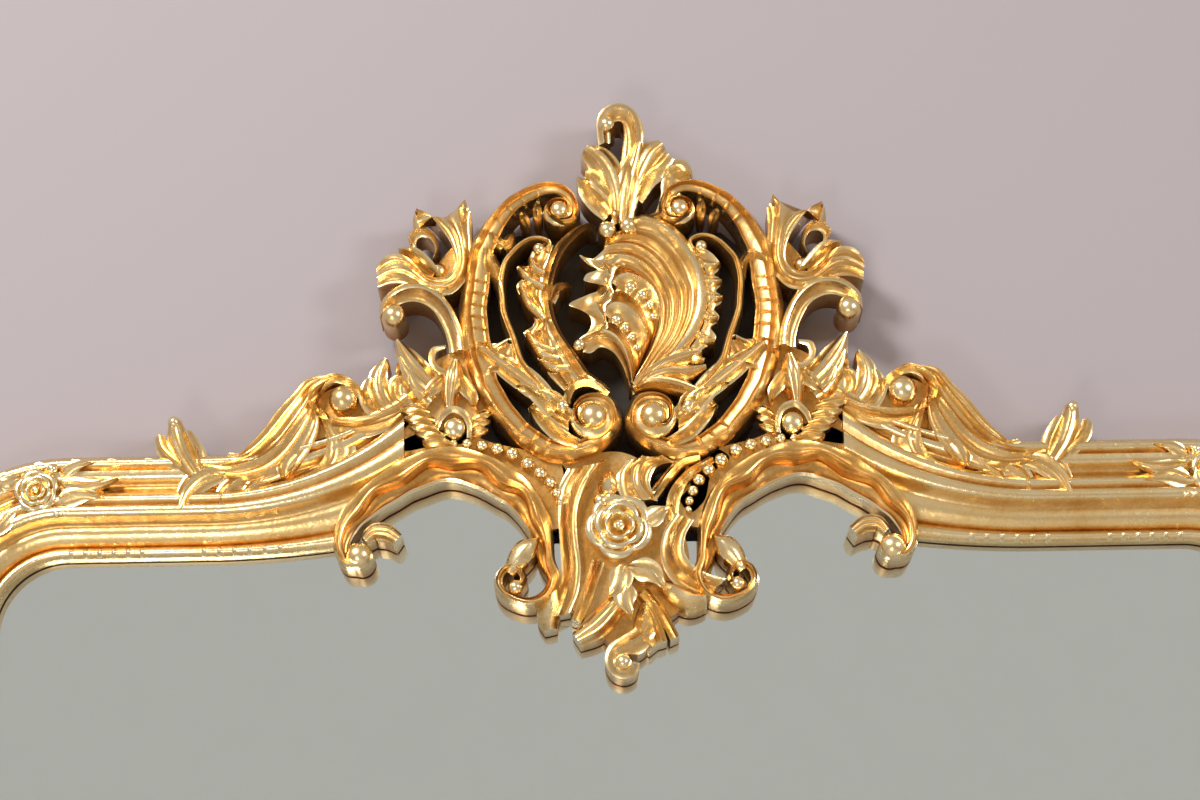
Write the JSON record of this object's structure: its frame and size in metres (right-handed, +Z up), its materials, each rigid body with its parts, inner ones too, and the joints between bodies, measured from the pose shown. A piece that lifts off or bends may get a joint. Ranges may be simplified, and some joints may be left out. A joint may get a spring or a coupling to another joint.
{
  "type": "full-length wall mirror",
  "caption": "Tall wall mirror in a carved and gilded wooden frame with a pierced shell and scroll crest, a rebated glass and two swinging hanging rings behind.",
  "frame": {"origin": "on the wall plane, at the middle of the frame's lower edge", "axes": "+X to the right seen from the front, +Y towards the wall, +Z up"},
  "size_m": [1.16, 0.06, 2.0515],
  "materials": {
    "gilding": "water-gilded and rubbed, satin to bright",
    "black_board": "painted matt black",
    "plywood": "bare plywood",
    "glass": "clear float glass",
    "silvering": "silvered",
    "steel": "zinc plated",
    "rubber": "matt black"
  },
  "bodies": {
    "frame": {"back_leaf": "gilding", "back_panel": "plywood", "bottom_rail": "gilding", "crest_backboard": "black_board", "crest_blank": "gilding", "crest_plates": "steel", "crest_screws": "steel", "finial_curl": "gilding", "finial_leaves": "gilding", "hanger_screws": "steel", "inner_leaf": "gilding", "left_acanthus": "gilding", "left_arch_pearls": "gilding", "left_arch_scroll": "gilding", "left_c_scroll": "gilding", "left_console_scroll": "gilding", "left_hanger_strap": "steel", "left_inner_scroll": "gilding", "left_lower_leaf": "gilding", "left_stem": "gilding", "left_stile": "gilding", "left_top_rail": "gilding", "left_wing_leaf": "gilding", "lower_left_spray": "gilding", "lower_right_spray": "gilding", "mirror_glass": "glass", "panel_tabs": "steel", "pendant_drop": "gilding", "pendant_leaves": "gilding", "pendant_rose": "gilding", "pendant_scrolls": "gilding", "plume_pearls": "gilding", "right_acanthus": "gilding", "right_arch_pearls": "gilding", "right_arch_scroll": "gilding", "right_c_scroll": "gilding", "right_console_scroll": "gilding", "right_hanger_strap": "steel", "right_lower_leaf": "gilding", "right_stem": "gilding", "right_stile": "gilding", "right_top_rail": "gilding", "right_wing_leaf": "gilding", "shell_plume": "gilding", "silver_coat": "silvering", "splice_plates": "steel", "splice_screws": "steel", "tab_screws": "steel", "upper_left_spray": "gilding", "upper_right_spray": "gilding", "wall_bumpers": "rubber"},
    "left_ring": {"left_hanger_ring": "steel"},
    "right_ring": {"right_hanger_ring": "steel"}
  },
  "joints": [
    {"name": "left_ring_swing", "type": "hinge", "parent": "frame", "child": "left_ring", "pos_m": [-0.54, -0.0038, 1.444], "axis": [1, 0, 0], "range_deg": [0, 180]},
    {"name": "right_ring_swing", "type": "hinge", "parent": "frame", "child": "right_ring", "pos_m": [0.54, -0.0038, 1.444], "axis": [1, 0, 0], "range_deg": [0, 180]}
  ]
}
